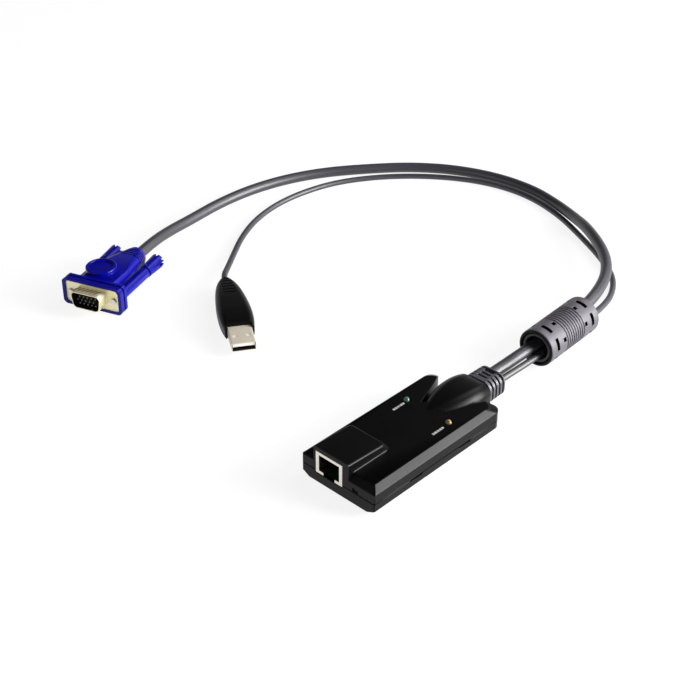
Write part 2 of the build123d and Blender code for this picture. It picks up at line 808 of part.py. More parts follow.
def video_hood():
    """Moulded grip: two rims round the flange, flat sides, a dished disc and a ribbed neck."""
    rim = at_axis(RectangleRounded(rim_w, rim_h, rim_corner_r))
    web = at_axis(RectangleRounded(rim_w - 2.4, rim_h - 2.4, rim_corner_r - 1))
    part = prism(rim, -rim_front, -rim_front + rim_t + rim_front)
    part = part + prism(web, rim_t, second_rim_from) + prism(rim, second_rim_from, second_rim_to)
    straight = prism(at_axis(RectangleRounded(hood_w, hood_h, hood_corner_r)), second_rim_to, hood_straight)
    shoulder = hood_section(*hood_shoulder)
    neck = hood_section(*hood_neck)
    start = hood_section(hood_straight, hood_w, hood_h, hood_corner_r)
    end = hood_section(hood_l, hood_end_w, hood_end_w, hood_end_w / 2 - 0.02)
    taper = loft([start, shoulder, neck, end])
    for i in range(hood_rib_n):
        y = hood_l - 3.0 - i * hood_rib_pitch
        size = taper & block(-hood_w, hood_w, y - hood_rib_w / 2, y + hood_rib_w / 2, 0, 3 * plug_axis_h)
        box = size.bounding_box().size
        inner_w = box.X - 2 * hood_rib_d
        inner_h = box.Z - 2 * hood_rib_d
        inner = at_axis(RectangleRounded(inner_w, inner_h, min(inner_w, inner_h) / 2 - 0.05))
        taper = taper - (size - prism(inner, y - hood_rib_w, y + hood_rib_w))
    part = part + (straight + taper - finger_grooves())
    top = plug_axis_h + hood_h / 2 + grip_disc_rise
    wall_h = grip_disc_rise + grip_disc_skirt
    disc = Pos(grip_disc_x, grip_disc_y, top - wall_h / 2) * Cylinder(grip_disc_r, wall_h)
    disc = fillet(disc.edges().group_by(Axis.Z)[-1], 0.6)
    part = part + (disc - finger_grooves())
    part = part - Pos(grip_disc_x, grip_disc_y, top) * Cylinder(grip_dish_r, 2 * grip_dish_d)
    part = part - prism(at_axis(RectangleRounded(flange_w + 0.04, flange_h + 0.04, flange_corner_r)), -rim_front - 1, flange_t)
    part = part - prism(at_axis(Rectangle(dshell_w - 1, dshell_h)), 0, insert_l)
    return screw_holes(part, -1, second_rim_to + 1)


def finger_grooves():
    """Hollows along both flat sides, where the screw barrels lie."""
    x = screw_pitch / 2
    far = hood_straight + finger_groove_l
    side = Pos(x, 0, plug_axis_h) * along_y(barrel_r + 2 * barrel_gap, second_rim_to, far)
    return side + mirror(side, Plane.YZ)


def thumb_screw(side):
    """Steel shank of one jack screw, in the middle of its turning parts."""
    x = side * screw_pitch / 2
    thread = along_y(screw_r, -screw_tip, screw_thread_l - screw_tip)
    thread = chamfer(thread.edges().group_by(Axis.Y)[0], 0.25)
    relief = along_y(screw_r + 1, 0, screw_relief) - along_y(screw_root_r, 0, screw_relief)
    shank = along_y(screw_root_r, 0, knob_from + knob_cross_l)
    return Pos(x, 0, plug_axis_h) * (thread - relief + shank)


def thumb_knob(side):
    """Moulded barrel and flared knob with fins and a driver slot."""
    y0 = second_rim_to + barrel_gap
    barrel = along_y(barrel_r, y0, knob_from - knob_groove_w)
    waist = along_y(barrel_r - knob_groove_d, knob_from - knob_groove_w, knob_from)
    low = Plane(origin=(0, knob_from, 0), x_dir=(1, 0, 0), z_dir=(0, 1, 0)) * Circle(barrel_r + 0.2)
    high = Plane(origin=(0, knob_to, 0), x_dir=(1, 0, 0), z_dir=(0, 1, 0)) * Circle(knob_end_r)
    knob = loft([low, high])
    for i in range(knob_fins):
        slot = Pos(knob_end_r, knob_from + 2.2 + knob_to / 2, 0) * Box(2 * knob_slot_d, knob_to, knob_slot_w)
        knob = knob - Rot(0, 360 / knob_fins * i + 30, 0) * slot
    cross = Pos(0, knob_to, 0) * Box(4 * knob_end_r, 2 * knob_cross_l, knob_cross_w)
    knob = knob - cross
    part = barrel + waist + knob - along_y(screw_root_r, 0, knob_from + knob_cross_l)
    return Pos(side * screw_pitch / 2, 0, plug_axis_h) * part


# USB plug
def usb_shell():
    """Folded metal shell with two square windows above and below."""
    outer = Pos(0, usb_axis_h) * RectangleRounded(usb_w, usb_h, 0.5)
    inner = Pos(0, usb_axis_h) * RectangleRounded(usb_w - 2 * usb_t, usb_h - 2 * usb_t, 0.25)
    part = prism(outer - inner, 0, usb_l)
    for x in (-usb_hole_x, usb_hole_x):
        part = part - Pos(x, usb_hole_y, usb_axis_h) * Box(usb_hole_w, usb_hole_l, 2 * usb_h)
    return part


def usb_tongue():
    """White insulator against the upper side of the shell."""
    x = min(tongue_w, usb_w - 2 * usb_t) / 2
    top = usb_axis_h + usb_h / 2 - usb_t
    return block(-x, x, tongue_set, usb_l, top - tongue_t, top)


def usb_contacts():
    strips = []
    z = usb_axis_h + usb_h / 2 - usb_t - tongue_t - usb_contact_t
    for x in usb_contact_x:
        y0 = tongue_set + 0.8 + (1.0 if abs(x) < 2 else 0.0)
        strips.append(block(x - usb_contact_w / 2, x + usb_contact_w / 2, y0, y0 + usb_contact_l, z, z + usb_contact_t))
    return Compound(children=strips)


def grip_section(y, width, height, radius):
    return across(y, usb_axis_h) * RectangleRounded(width, height, radius)


def usb_grip():
    """Drop-shaped overmould with a horn each side of the shell and ribs towards the cable."""
    rows = [(horn_from,) + horn_end] + grip_sections
    rows = rows + [(grip_l, grip_end_w, grip_end_w, grip_end_w / 2 - 0.02)]
    part = loft([grip_section(*row) for row in rows])
    part = part & block(-usb_w, usb_w, 0, grip_l, 0, 3 * usb_axis_h)
    for i in range(grip_rib_n):
        y = grip_l - 4.0 - i * grip_rib_pitch
        size = part & block(-usb_w, usb_w, y - grip_rib_w / 2, y + grip_rib_w / 2, 0, 3 * usb_axis_h)
        box = size.bounding_box().size
        inner_w = box.X - 2 * grip_rib_d
        inner_h = box.Z - 2 * grip_rib_d
        inner = RectangleRounded(inner_w, inner_h, min(inner_w, inner_h) / 2 - 0.3)
        groove = size - prism(Pos(0, usb_axis_h) * inner, y - grip_rib_w, y + grip_rib_w)
        part = part - (groove & block(-grip_rib_half, grip_rib_half, 0, grip_l, usb_axis_h, 3 * usb_axis_h))
    half = usb_w / 2 + usb_pocket
    part = cut_box(part, -half, half, 0, usb_show, -1, 3 * usb_axis_h)
    shell = Pos(0, usb_axis_h) * RectangleRounded(usb_w, usb_h, 0.5)
    return part - prism(shell, 0, usb_l)


# Cables
def tube(name, radius, points):
    """Straight runs joined by tangent arcs, each as large as its two runs allow."""
    radii = []
    for a, b, c in zip(points, points[1:], points[2:]):
        u = Vector(*b) - Vector(*a)
        v = Vector(*c) - Vector(*b)
        half_turn = math.radians(u.get_angle(v)) / 2
        radii.append(0.45 * min(u.length, v.length) / math.tan(half_turn))
    path = FilletPolyline(*points, radius=radii)
    start = Plane(origin=path @ 0, z_dir=path % 0)
    solid = sweep(start * Circle(radius), path=path)
    expected = math.pi * radius * radius * path.length
    print(name, "length %.0f mm" % path.length, "volume ratio %.4f" % (solid.volume / expected))
    print("  radii", [round(r) for r in radii])
    return solid


def leaving(x):
    """A short straight run out of the boot."""
    y = rear_y + boot_l
    return [(x, y, boot_axis_h), (x, y + exit_run, boot_axis_h)]


def behind(end, heading, run, height):
    """A straight run that enters a plug along its own axis."""
    turn = math.radians(heading)
    corner = (end[0] - run * math.sin(turn), end[1] + run * math.cos(turn), height)
    return [corner, (end[0], end[1], height)]


def video_cable():
    last = behind(video_end, video_heading, video_last_run, plug_axis_h)
    first = leaving(video_exit_x)
    return tube("video cable", video_cable_r, first + video_route + last)


def usb_cable():
    last = behind(usb_end, usb_heading, usb_last_run, usb_axis_h)
    first = leaving(usb_exit_x)
    return tube("usb cable", usb_cable_r, first + usb_route + last)


def on_video(part):
    return place_plug(video_end, video_heading, hood_l, part)


def on_usb(part):
    return place_plug(usb_end, usb_heading, grip_l, part)


left_lamp, right_lamp = lamp_places()
pieces = {
    "lower_cover": lower_cover(),
    "upper_cover": upper_cover(),
    "circuit_board": circuit_board(),
    "jack_shield": jack_shield(),
    "jack_body": jack_body(),
    "jack_contacts": jack_contacts(),
    "main_chip": chip(main_chip, main_chip_at),
    "video_chip": chip(video_chip, video_chip_at),
    "memory_chip": chip(memory_chip, memory_chip_at),
    "network_transformer": on_board(transformer, transformer_at),
    "crystal": on_board(crystal, crystal_at),
    "capacitors": capacitors(),
    "video_header": header(video_header_x, video_header_w),
    "usb_header": header(usb_header_x, usb_header_w),
    "video_leads": wire_lead(video_lead_x, video_lead_r),
    "usb_leads": wire_lead(usb_lead_x, usb_lead_r),
    "online_lamp": lamp(left_lamp),
    "power_lamp": lamp(right_lamp),
    "lamp_leads": lamp_leads(),
    "cable_boot": cable_boot(),
    "ferrite_sleeve": ferrite_sleeve(),
    "ferrite_core": ferrite_core(),
    "video_cable": video_cable(),
    "usb_cable": usb_cable(),
    "video_shell": on_video(video_shell()),
    "video_insert": on_video(video_insert()),
    "video_pins": on_video(video_pins()),
    "video_hood": on_video(video_hood()),
    "left_screw": on_video(thumb_screw(-1)),
    "right_screw": on_video(thumb_screw(1)),
    "left_knob": on_video(thumb_knob(-1)),
    "right_knob": on_video(thumb_knob(1)),
    "usb_shell": on_usb(usb_shell()),
    "usb_tongue": on_usb(usb_tongue()),
    "usb_contacts": on_usb(usb_contacts()),
    "usb_grip": on_usb(usb_grip()),
}

for name, piece in pieces.items():
    export_step(piece, "parts/" + name + ".step")
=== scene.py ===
import math
import bmesh
import bpy
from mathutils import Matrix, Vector


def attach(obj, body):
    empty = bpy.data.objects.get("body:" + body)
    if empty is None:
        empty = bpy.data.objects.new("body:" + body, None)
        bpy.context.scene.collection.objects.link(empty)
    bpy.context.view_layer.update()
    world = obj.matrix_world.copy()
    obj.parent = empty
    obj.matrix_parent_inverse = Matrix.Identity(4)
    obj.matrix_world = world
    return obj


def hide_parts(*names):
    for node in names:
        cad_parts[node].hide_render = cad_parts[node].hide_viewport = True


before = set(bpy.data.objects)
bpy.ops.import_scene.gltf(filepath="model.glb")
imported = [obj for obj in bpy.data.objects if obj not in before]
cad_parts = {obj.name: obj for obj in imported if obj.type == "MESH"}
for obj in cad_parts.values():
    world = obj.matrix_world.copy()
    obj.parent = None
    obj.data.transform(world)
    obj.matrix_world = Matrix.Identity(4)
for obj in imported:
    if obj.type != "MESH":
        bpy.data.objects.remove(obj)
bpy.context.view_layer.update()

# The camera stands where the picture was taken from: a long lens, about 0.7 m away, looking
# down at 33 degrees over the front right corner of the housing.
camera_data = bpy.data.cameras.new("camera")
camera_data.lens = 74.35
camera_data.sensor_width = 36.0
camera = bpy.data.objects.new("camera", camera_data)
bpy.context.scene.collection.objects.link(camera)
camera.location = (0.31505, -0.37239, 0.37658)
aim = Vector((-0.0833, 0.0417, 0.0)) - camera.location
camera.rotation_mode = "QUATERNION"
camera.rotation_quaternion = aim.to_track_quat("-Z", "Y")
camera_data.clip_start = 0.01
camera_data.clip_end = 50.0
bpy.context.scene.camera = camera
bpy.context.scene.view_settings.view_transform = "Standard"


# Studio: two lamps behind on the right light the housing's long bevel and the flank of its
# tongue, one behind the upper sides of the cables, one at the front the jack. The walls are
# bright only near the floor, so that the flat deck mirrors darkness and looks nearly black.
loop_middle = Vector((-0.08, 0.05, 0))


def lamp(name, place, size, watts):
    data = bpy.data.lights.new(name, "AREA")
    data.shape = "SQUARE"
    data.size = size
    data.energy = watts
    obj = bpy.data.objects.new(name, data)
    bpy.context.scene.collection.objects.link(obj)
    obj.location = place
    obj.rotation_mode = "QUATERNION"
    obj.rotation_quaternion = (loop_middle - obj.location).to_track_quat("-Z", "Y")


lamp("lamp_key", (0.88, 0.86, 0.70), 0.6, 16.0)
lamp("lamp_low", (0.96, 0.70, 0.30), 0.6, 26.0)
lamp("lamp_back", (0.0, 0.95, 0.95), 0.7, 5.0)
lamp("lamp_front", (-0.25, -1.25, 0.75), 0.7, 3.0)


class Value:
    """A number or colour that changes over a surface, with Python's own operators."""

    def __init__(self, finish, socket):
        self.finish = finish
        self.socket = socket

    def math(self, kind, a, b=0.0):
        return self.finish.out("ShaderNodeMath", {"operation": kind}, {0: a, 1: b})

    def __add__(self, other):
        return self.math("ADD", self, other)

    def __mul__(self, other):
        return self.math("MULTIPLY", self, other)

    __radd__ = __add__
    __rmul__ = __mul__


class Finish:
    """One material: a Principled shader whose sockets take numbers, colours or Values."""

    def __init__(self, name, world=False):
        self.block = bpy.data.worlds.new(name) if world else bpy.data.materials.new(name)
        self.block.use_nodes = True
        self.tree = self.block.node_tree
        self.tree.nodes.clear()

    def node(self, kind, settings=None, sockets=None):
        made = self.tree.nodes.new(kind)
        for name, setting in (settings or {}).items():
            setattr(made, name, setting)
        for key, given in (sockets or {}).items():
            if isinstance(given, Value):
                self.tree.links.new(given.socket, made.inputs[key])
            else:
                made.inputs[key].default_value = given
        return made

    def out(self, kind, settings=None, sockets=None, output=0):
        return Value(self, self.node(kind, settings, sockets).outputs[output])

    def place(self):
        """Object coordinates, in metres."""
        return self.out("ShaderNodeTexCoord", output="Object")

    def noise(self, where, scale, detail=2.0, rough=0.5):
        spots = {"Vector": where, "Scale": scale, "Detail": detail, "Roughness": rough}
        return self.out("ShaderNodeTexNoise", None, spots, "Fac")

    def mix(self, factor, a, b):
        return self.out("ShaderNodeMix", {"data_type": "RGBA"}, {0: factor, 6: a, 7: b}, 2)

    def bump(self, height, strength, distance):
        spots = {"Height": height, "Strength": strength, "Distance": distance}
        return self.out("ShaderNodeBump", None, spots)

    def surface(self, **sockets):
        spots = {name.replace("_", " "): given for name, given in sockets.items()}
        shader = self.out("ShaderNodeBsdfPrincipled", None, spots)
        self.node("ShaderNodeOutputMaterial", None, {"Surface": shader})
        return self.block


def seen_direct(finish):
    """1 where the camera, a mirror or clear plastic looks straight at the backdrop."""
    rays = finish.node("ShaderNodeLightPath").outputs
    direct = Value(finish, rays["Is Camera Ray"]) + Value(finish, rays["Is Glossy Ray"])
    return direct + Value(finish, rays["Is Transmission Ray"])


sky = Finish("studio_light", world=True)
aimed = sky.out("ShaderNodeTexCoord", output="Generated")
rise = sky.out("ShaderNodeSeparateXYZ", None, {0: aimed}, 2)
fade = {"Value": rise, "From Min": 0.14, "From Max": 0.36, "To Min": 1.0, "To Max": 0.03}
walls = sky.out("ShaderNodeMapRange", {"interpolation_type": "SMOOTHSTEP"}, fade)
rays = sky.node("ShaderNodeLightPath").outputs
straight = Value(sky, rays["Is Camera Ray"]) + Value(sky, rays["Is Transmission Ray"])
bright = sky.out("ShaderNodeMath", {"operation": "MAXIMUM"}, {0: walls, 1: straight})
backdrop = sky.out("ShaderNodeBackground", None, {"Color": (1, 1, 1, 1), "Strength": bright})
sky.node("ShaderNodeOutputWorld", None, {"Surface": backdrop})
bpy.context.scene.world = sky.block

bpy.ops.object.select_all(action="DESELECT")
bpy.ops.mesh.primitive_plane_add(size=30.0, location=(0, 0, -0.0002))
floor = bpy.context.object
floor.name = "floor"
paper = Finish("white_paper")
pale = paper.out("ShaderNodeBsdfDiffuse", None, {"Color": (0.8, 0.8, 0.8, 1)})
soft = paper.out("ShaderNodeBsdfDiffuse", None, {"Color": (0.19, 0.19, 0.19, 1)})
white = paper.out("ShaderNodeEmission", None, {"Color": (1, 1, 1, 1), "Strength": 0.86})
lit = paper.out("ShaderNodeAddShader", None, {0: soft, 1: white})
shown = paper.out("ShaderNodeMixShader", None, {0: seen_direct(paper), 1: pale, 2: lit})
paper.node("ShaderNodeOutputMaterial", None, {"Surface": shown})
floor.data.materials.append(paper.block)


# Video cable: a smooth charcoal PVC jacket over the coaxial cores, 5.9 mm thick and half a
# metre long from the boot to the video plug, which lies at rest on the floor.
video_route = [
    (-3.0, 58.8, 6.7),
    (-3.0, 66.8, 6.7),
    (-1.4, 81.1, 8.9),
    (-0.8, 103.6, 9.9),
    (-2.6, 128.6, 10.3),
    (-6.6, 151.1, 10.2),
    (-15.0, 172.1, 9.9),
    (-29.0, 189.1, 9.7),
    (-50.0, 204.1, 9.5),
    (-67.5, 216.1, 5.4),
    (-85.0, 225.1, 3.1),
    (-107.0, 230.6, 2.95),
    (-132.5, 228.6, 2.95),
    (-157.5, 219.1, 2.95),
    (-178.5, 203.6, 2.95),
    (-196.0, 183.1, 2.95),
    (-210.3, 163.1, 2.95),
    (-220.3, 141.1, 2.95),
    (-225.7, 117.1, 2.95),
    (-226.3, 92.1, 2.95),
    (-223.0, 67.6, 3.1),
    (-218.5, 48.1, 5.2),
    (-212.13, 31.06, 7.45),
    (-206.9, 17.0, 7.45),
]
video_radius = 0.00295


def cable(name, route, radius):
    """A round jacket that follows a smooth line through the given route, in mm."""
    data = bpy.data.curves.new(name, "CURVE")
    data.dimensions = "3D"
    line = data.splines.new("NURBS")
    line.points.add(len(route) - 1)
    for point, (x, y, z) in zip(line.points, route):
        point.co = (x / 1000, y / 1000, z / 1000, 1.0)
    line.order_u = 3
    line.use_endpoint_u = True
    data.resolution_u = 16
    data.bevel_depth = radius
    data.bevel_resolution = 7
    data.use_fill_caps = True
    obj = bpy.data.objects.new(name, data)
    bpy.context.scene.collection.objects.link(obj)
    return obj


def jacket(name, tone):
    """Extruded PVC: a faint satin grain, and soft cloudy differences in colour and gloss."""
    pvc = Finish(name)
    where = pvc.place()
    cloud = pvc.noise(where, 22.0, 3.0)
    grain = pvc.noise(where, 1900.0, 2.0)
    lighter = tuple(c * 1.35 for c in tone) + (1,)
    colour = pvc.mix(cloud, tone + (1,), lighter)
    height = grain * 0.6 + cloud * 0.4
    return pvc.surface(
        Base_Color=colour,
        Roughness=0.40 + 0.10 * cloud,
        Specular_IOR_Level=0.75,
        Normal=pvc.bump(height, 0.25, 0.00012),
    )


cable_grey = jacket("charcoal_pvc", (0.021, 0.020, 0.027))
video_cord = cable("video_cord", video_route, video_radius)
video_cord.data.materials.append(cable_grey)
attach(video_cord, "dongle")
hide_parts("video_cable")


# USB cable: the same jacket, 3.15 mm thick. It leaves the boot beside the video cable,
# shares the ferrite sleeve with it, passes under it and lies along its inner side.
usb_route = [
    (3.0, 58.8, 6.7),
    (3.0, 66.8, 6.7),
    (3.5, 81.1, 6.8),
    (2.9, 103.6, 7.0),
    (1.6, 128.6, 6.9),
    (-1.8, 150.1, 4.6),
    (-7.8, 167.6, 2.0),
    (-18.0, 183.1, 1.6),
    (-33.5, 194.1, 1.6),
    (-53.0, 205.1, 1.6),
    (-79.5, 218.4, 1.6),
    (-106.5, 225.1, 1.6),
    (-131.5, 222.3, 1.6),
    (-153.5, 211.8, 1.6),
    (-172.5, 196.6, 1.6),
    (-187.5, 179.1, 1.6),
    (-198.5, 159.1, 1.6),
    (-203.3, 137.6, 1.6),
    (-203.6, 116.6, 1.6),
    (-199.0, 95.6, 1.6),
    (-190.0, 76.6, 1.6),
    (-179.0, 60.6, 2.0),
    (-168.0, 46.1, 3.7),
    (-161.42, 37.09, 4.95),
    (-155.6, 33.2, 4.95),
]
usb_radius = 0.001575
usb_cord = cable("usb_cord", usb_route, usb_radius)
usb_cord.data.materials.append(cable_grey)
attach(usb_cord, "dongle")
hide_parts("usb_cable")


# Housing covers: two shells of black ABS that snap together at a shadow groove. They are
# moulded with a fine spark-eroded texture, and every edge carries a small radius.
def mark_edges(mesh, limit, least, weigh):
    """Weight the sharp edges that are long enough to carry a radius."""
    work = bmesh.new()
    work.from_mesh(mesh)
    weight = work.edges.layers.float.new("bevel_weight_edge")
    for edge in work.edges:
        sharp = len(edge.link_faces) == 2 and edge.calc_face_angle() > limit
        middle = (edge.verts[0].co + edge.verts[1].co) / 2
        share = weigh(middle) if weigh else 1.0
        edge[weight] = share if sharp and edge.calc_length() > least else 0.0
    work.to_mesh(mesh)
    work.free()


def dress(
    node, name, finish, radius=0.0, limit=32, segments=2, body="dongle", least=2.2, weigh=None
):
    """The node's own form, its loose triangles joined, its edges rounded as a mould leaves them."""
    bpy.ops.object.select_all(action="DESELECT")
    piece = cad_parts[node].copy()
    piece.data = piece.data.copy()
    piece.name = name
    bpy.context.scene.collection.objects.link(piece)
    piece.select_set(True)
    bpy.context.view_layer.objects.active = piece
    bpy.ops.object.mode_set(mode="EDIT")
    bpy.ops.mesh.select_all(action="SELECT")
    bpy.ops.mesh.remove_doubles(threshold=0.000002)
    bpy.ops.mesh.dissolve_limited(angle_limit=math.radians(0.5))
    bpy.ops.object.mode_set(mode="OBJECT")
    if radius > 0:
        mark_edges(piece.data, math.radians(limit), least * radius, weigh)
        soft = piece.modifiers.new("edges", "BEVEL")
        soft.width = radius
        soft.segments = segments
        soft.limit_method = "WEIGHT"
        soft.use_clamp_overlap = False
        bpy.ops.object.modifier_apply(modifier="edges")
    bpy.ops.object.shade_smooth_by_angle(angle=math.radians(limit))
    if radius > 0:
        flats = piece.modifiers.new("flats", "WEIGHTED_NORMAL")
        flats.keep_sharp = True
        bpy.ops.object.modifier_apply(modifier="flats")
    piece.data.materials.clear()
    piece.data.materials.append(finish)
    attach(piece, body)
    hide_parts(node)
    return piece


def moulded(name, tone, rough, grain_size=0.00035, depth=0.00003, shine=0.4):
    """Injection-moulded plastic: spark texture, faint flow clouds and slightly polished spots."""
    plastic = Finish(name)
    where = plastic.place()
    grain = plastic.noise(where, 1.0 / grain_size, 3.0, 0.6)
    cloud = plastic.noise(where, 45.0, 3.0)
    lighter = tuple(c * 1.3 + 0.0003 for c in tone) + (1,)
    return plastic.surface(
        Base_Color=plastic.mix(cloud, tone + (1,), lighter),
        Roughness=rough - 0.06 + 0.12 * cloud,
        Specular_IOR_Level=shine,
        Normal=plastic.bump(grain, 0.5, depth),
    )


valley_tip = (0.0061, 0.0150)
tip_reach = 0.0022
hump_shoulder = 0.0168
slight_share = 0.42


def cover_edge(middle):
    """The hump's top edges carry the full radius, others less, the valleys' tips none."""
    beside = abs(abs(middle.x) - valley_tip[0]) < tip_reach
    if beside and abs(middle.y - valley_tip[1]) < tip_reach:
        return 0.0
    return 1.0 if middle.z > hump_shoulder else slight_share


black_abs = moulded("black_abs", (0.0016, 0.0014, 0.0018), 0.32, shine=0.13)
upper = dress(
    "upper_cover", "upper_housing", black_abs, 0.0006, segments=3, least=1.7, weigh=cover_edge
)
lower = dress("lower_cover", "lower_housing", black_abs, 0.0002, least=4.0)


# Printing on the deck: a row of plain pale strokes beside each lamp, pad-printed ink a few
# hundredths of a millimetre thick.
deck_top = 13.4
letter_height = 0.00115
ink_depth = 0.00004


def strokes(name, centre, widths, finish):
    """A row of little ink blocks along Y, centred on a point of the deck, in mm."""
    gap = 0.30
    y = centre[1] - (sum(widths) + gap * (len(widths) - 1)) / 2
    bpy.ops.object.select_all(action="DESELECT")
    blocks = []
    for width in widths:
        middle = (centre[0] / 1000, (y + width / 2) / 1000, (deck_top + 0.01) / 1000)
        bpy.ops.mesh.primitive_cube_add(size=1.0, location=middle)
        bpy.context.object.scale = (letter_height, width / 1000, ink_depth)
        blocks.append(bpy.context.object)
        y += width + gap
    for block in blocks:
        block.select_set(True)
    bpy.ops.object.join()
    row = bpy.context.object
    bpy.ops.object.transform_apply(location=True, rotation=True, scale=True)
    row.name = name
    row.data.materials.append(finish)
    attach(row, "dongle")


ink = moulded("pale_ink", (0.42, 0.42, 0.40), 0.6, shine=0.2)
strokes("left_print", (-11.1, 5.6), (1.15, 1.1, 0.95, 0.45, 1.1, 0.95), ink)
strokes("right_print", (13.1, 4.0), (1.1, 1.3, 1.4, 1.05, 1.1), ink)


# Foot of the hump: the small hollow radius that the mould leaves where the hump stands on
# the deck. It catches the light along the right side.
def foot_bead(name, path, leg, finish):
    """A bead with a hollow face along a path on the deck, in mm; points carry their way out."""
    sunk = 0.1
    steps = 4
    rings = []
    for x, y, out_x, out_y in path:
        inner = (x - sunk * out_x, y - sunk * out_y)
        ring = [(*inner, deck_top - sunk), (*inner, deck_top + leg)]
        for step in range(1, steps + 1):
            turn = math.radians(90 * step / steps)
            reach = leg * (1 - math.cos(turn))
            rise = deck_top + leg * (1 - math.sin(turn))
            ring.append((x + out_x * reach, y + out_y * reach, rise))
        ring.append((x + out_x * leg, y + out_y * leg, deck_top - sunk))
        rings.append([(a / 1000, b / 1000, c / 1000) for a, b, c in ring])
    count = len(rings[0])
    points = [point for ring in rings for point in ring]
    faces = []
    for start in range(0, count * (len(rings) - 1), count):
        for j in range(count):
            k = (j + 1) % count
            faces.append((start + j, start + count + j, start + count + k, start + k))
    faces.append(tuple(range(count)))
    faces.append(tuple(range(count * (len(rings) - 1), count * len(rings)))[::-1])
    mesh = bpy.data.meshes.new(name)
    mesh.from_pydata(points, [], faces)
    bead = bpy.data.objects.new(name, mesh)
    bpy.context.scene.collection.objects.link(bead)
    bpy.ops.object.select_all(action="DESELECT")
    bead.select_set(True)
    bpy.context.view_layer.objects.active = bead
    bpy.ops.object.mode_set(mode="EDIT")
    bpy.ops.mesh.select_all(action="SELECT")
    bpy.ops.mesh.normals_make_consistent(inside=False)
    bpy.ops.object.mode_set(mode="OBJECT")
    bpy.ops.object.shade_smooth_by_angle(angle=math.radians(35))
    bead.data.materials.append(finish)
    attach(bead, "dongle")


for name, x, way in (("hump_foot_right", 6.4, 1), ("hump_foot_left", -14.1, -1)):
    foot_bead(name, [(x, y, way, 0) for y in (-41.6, -30.0, -21.6)], 0.55, black_abs)


# Network jack: a stamped, nickel-plated shield whose front shows as a pale arch with two
# short returns, a black moulded body inside it, and eight gold spring wires.
def plated(name, tone, rough, metal_share=1.0):
    """Plated sheet metal: fine rolling marks and soft finger-dull patches."""
    metal = Finish(name)
    where = metal.place()
    dull = metal.noise(where, 90.0, 3.0)
    marks = metal.noise(where, 2340.0, 2.0)
    darker = tuple(c * 0.82 for c in tone) + (1,)
    return metal.surface(
        Base_Color=metal.mix(dull, tone + (1,), darker),
        Metallic=metal_share,
        Roughness=rough + 0.14 * dull,
        Normal=metal.bump(marks, 0.2, 0.00002),
    )


nickel = plated("nickel_plate", (0.88, 0.84, 0.76), 0.36)
gold = plated("gold_plate", (0.92, 0.68, 0.30), 0.22)
insulator = moulded("black_insulator", (0.012, 0.012, 0.013), 0.5)
dress("jack_shield", "jack_cage", nickel, 0.00008)
dress("jack_body", "jack_insert", insulator, 0.00008)
dress("jack_contacts", "jack_springs", gold)


# Circuit board and its parts, closed in by the covers: green solder mask on glass epoxy,
# moulded chips, a crystal can, aluminium capacitors and two white wire headers.
mask = Finish("solder_mask")
spot = mask.place()
weave = mask.noise(spot, 700.0, 1.0)
bricks = {"Vector": spot, "Scale": 160.0, "Mortar Size": 0.03}
tracks = mask.out("ShaderNodeTexBrick", {"offset": 0.5}, bricks, "Fac")
green = mask.mix(tracks, (0.003, 0.022, 0.010, 1), (0.005, 0.042, 0.016, 1))
solder_mask = mask.surface(
    Base_Color=green,
    Roughness=0.28 + 0.1 * weave,
    Normal=mask.bump(tracks + weave, 0.3, 0.00003),
)
tin = plated("tin_plate", (0.72, 0.72, 0.70), 0.34)
nylon = moulded("white_nylon", (0.74, 0.73, 0.68), 0.5)
resin = moulded("chip_resin", (0.02, 0.02, 0.021), 0.55)
core_jacket = jacket("core_jacket", (0.16, 0.16, 0.17))
inner_finish = {
    "circuit_board": solder_mask,
    "main_chip": resin,
    "video_chip": resin,
    "memory_chip": resin,
    "network_transformer": resin,
    "crystal": nickel,
    "capacitors": tin,
    "video_header": nylon,
    "usb_header": nylon,
    "video_leads": core_jacket,
    "usb_leads": core_jacket,
    "lamp_leads": tin,
}
for node, finish in inner_finish.items():
    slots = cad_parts[node].data.materials
    slots.clear()
    slots.append(finish)


# Indicator lamps: tinted epoxy domes that stand a millimetre out of the deck, green on the
# left for the link and amber on the right for power.
def lens(name, tone, glow):
    """Tinted diffused epoxy with a slightly brighter heart, and a faint painted glow in the same
    colours.
    """
    epoxy = Finish(name)
    where = epoxy.place()
    cloud = epoxy.noise(where, 500.0, 2.0)
    lighter = tuple(min(c * 1.3 + 0.05, 1) for c in tone) + (1,)
    return epoxy.surface(
        Base_Color=epoxy.mix(cloud, tone + (1,), lighter),
        Roughness=0.16 + 0.08 * cloud,
        Emission_Color=epoxy.mix(cloud, tone + (1,), lighter),
        Emission_Strength=glow,
        Coat_Weight=0.2,
    )


# The small emission of both lenses is a faint painted glow; the lamps are not lit.
green_lens = lens("green_epoxy", (0.010, 0.085, 0.038), 0.01)
amber_lens = lens("amber_epoxy", (0.17, 0.085, 0.010), 0.01)
dress("online_lamp", "link_lens", green_lens)
dress("power_lamp", "power_lens", amber_lens)


# Strain relief: one soft grey PVC moulding shot over both cables, slotted so that it bends.
boot_grey = moulded("grey_pvc", (0.048, 0.046, 0.057), 0.44, 0.0005, 0.00004, 0.55)
boot = dress("cable_boot", "strain_relief", boot_grey, 0.00022)


# Ferrite sleeve: a grey moulded tube, ribbed in the middle with a plain collar at each end,
# closed round a ring of sintered ferrite that both cables pass through. A ring of dark
# rubber lines each mouth.
sleeve_grey = moulded("sleeve_plastic", (0.078, 0.073, 0.088), 0.50, 0.0005, 0.00004, 0.5)
# Near-black: the ferrite's own colour on the ring, and painted shade on the sleeve's ends, recesses
# and cuts.
ferrite_black_and_shade = moulded("ferrite_black_and_painted_shade", (0.006, 0.006, 0.007), 0.6, shine=0.15)
sleeve = dress("ferrite_sleeve", "ferrite_tube", sleeve_grey, 0.00018)


